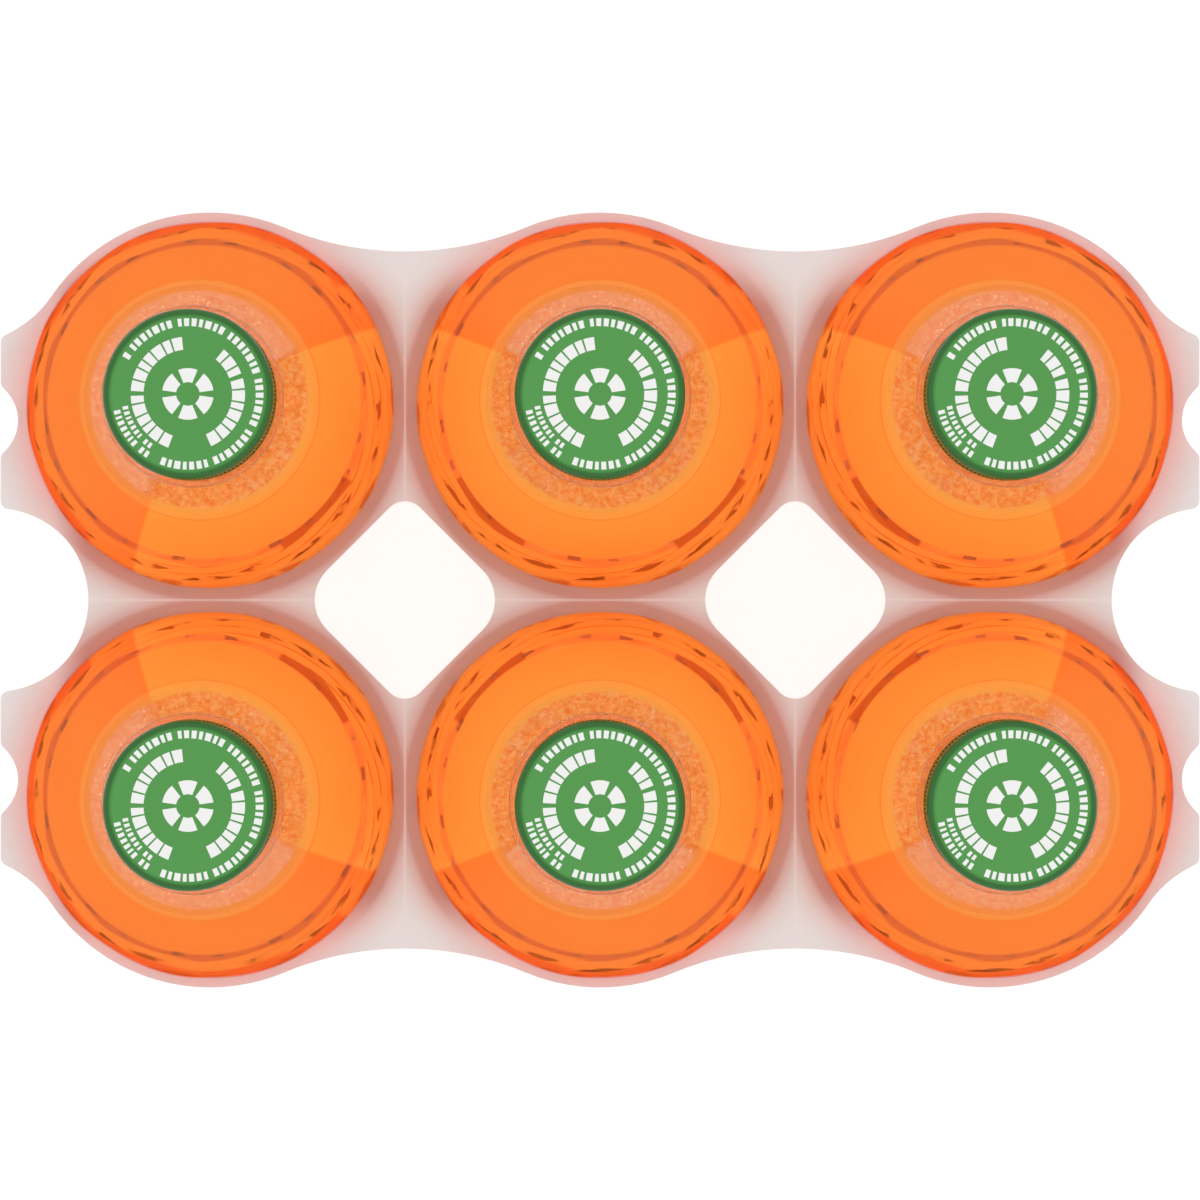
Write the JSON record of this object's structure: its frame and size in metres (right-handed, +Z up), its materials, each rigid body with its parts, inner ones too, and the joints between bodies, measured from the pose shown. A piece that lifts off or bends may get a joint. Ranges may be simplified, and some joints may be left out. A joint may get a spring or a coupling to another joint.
{
  "type": "six pack of soda bottles",
  "caption": "Pack of capped plastic bottles of orange soda in two rows, held under the shoulder by one flexible ring carrier with finger gaps.",
  "frame": {"origin": "on the floor under the middle of the pack", "axes": "+Z up along the bottles, +X along the three columns, +Y across the two rows"},
  "size_m": [0.2256, 0.146, 0.2059],
  "materials": {
    "clear_pet": "clear blown bottle plastic, glossy",
    "orange_drink": "clear orange soft drink",
    "green_cap": "moulded green closure, satin gloss, white print",
    "carrier_film": "flexible milky carrier sheet, satin"
  },
  "bodies": {
    "root": {"bottle_1": "clear_pet", "bottle_2": "clear_pet", "bottle_3": "clear_pet", "bottle_4": "clear_pet", "bottle_5": "clear_pet", "bottle_6": "clear_pet", "drink_1": "orange_drink", "drink_2": "orange_drink", "drink_3": "orange_drink", "drink_4": "orange_drink", "drink_5": "orange_drink", "drink_6": "orange_drink", "cap_1": "green_cap", "cap_2": "green_cap", "cap_3": "green_cap", "cap_4": "green_cap", "cap_5": "green_cap", "cap_6": "green_cap", "carrier": "carrier_film"}
  },
  "joints": []
}
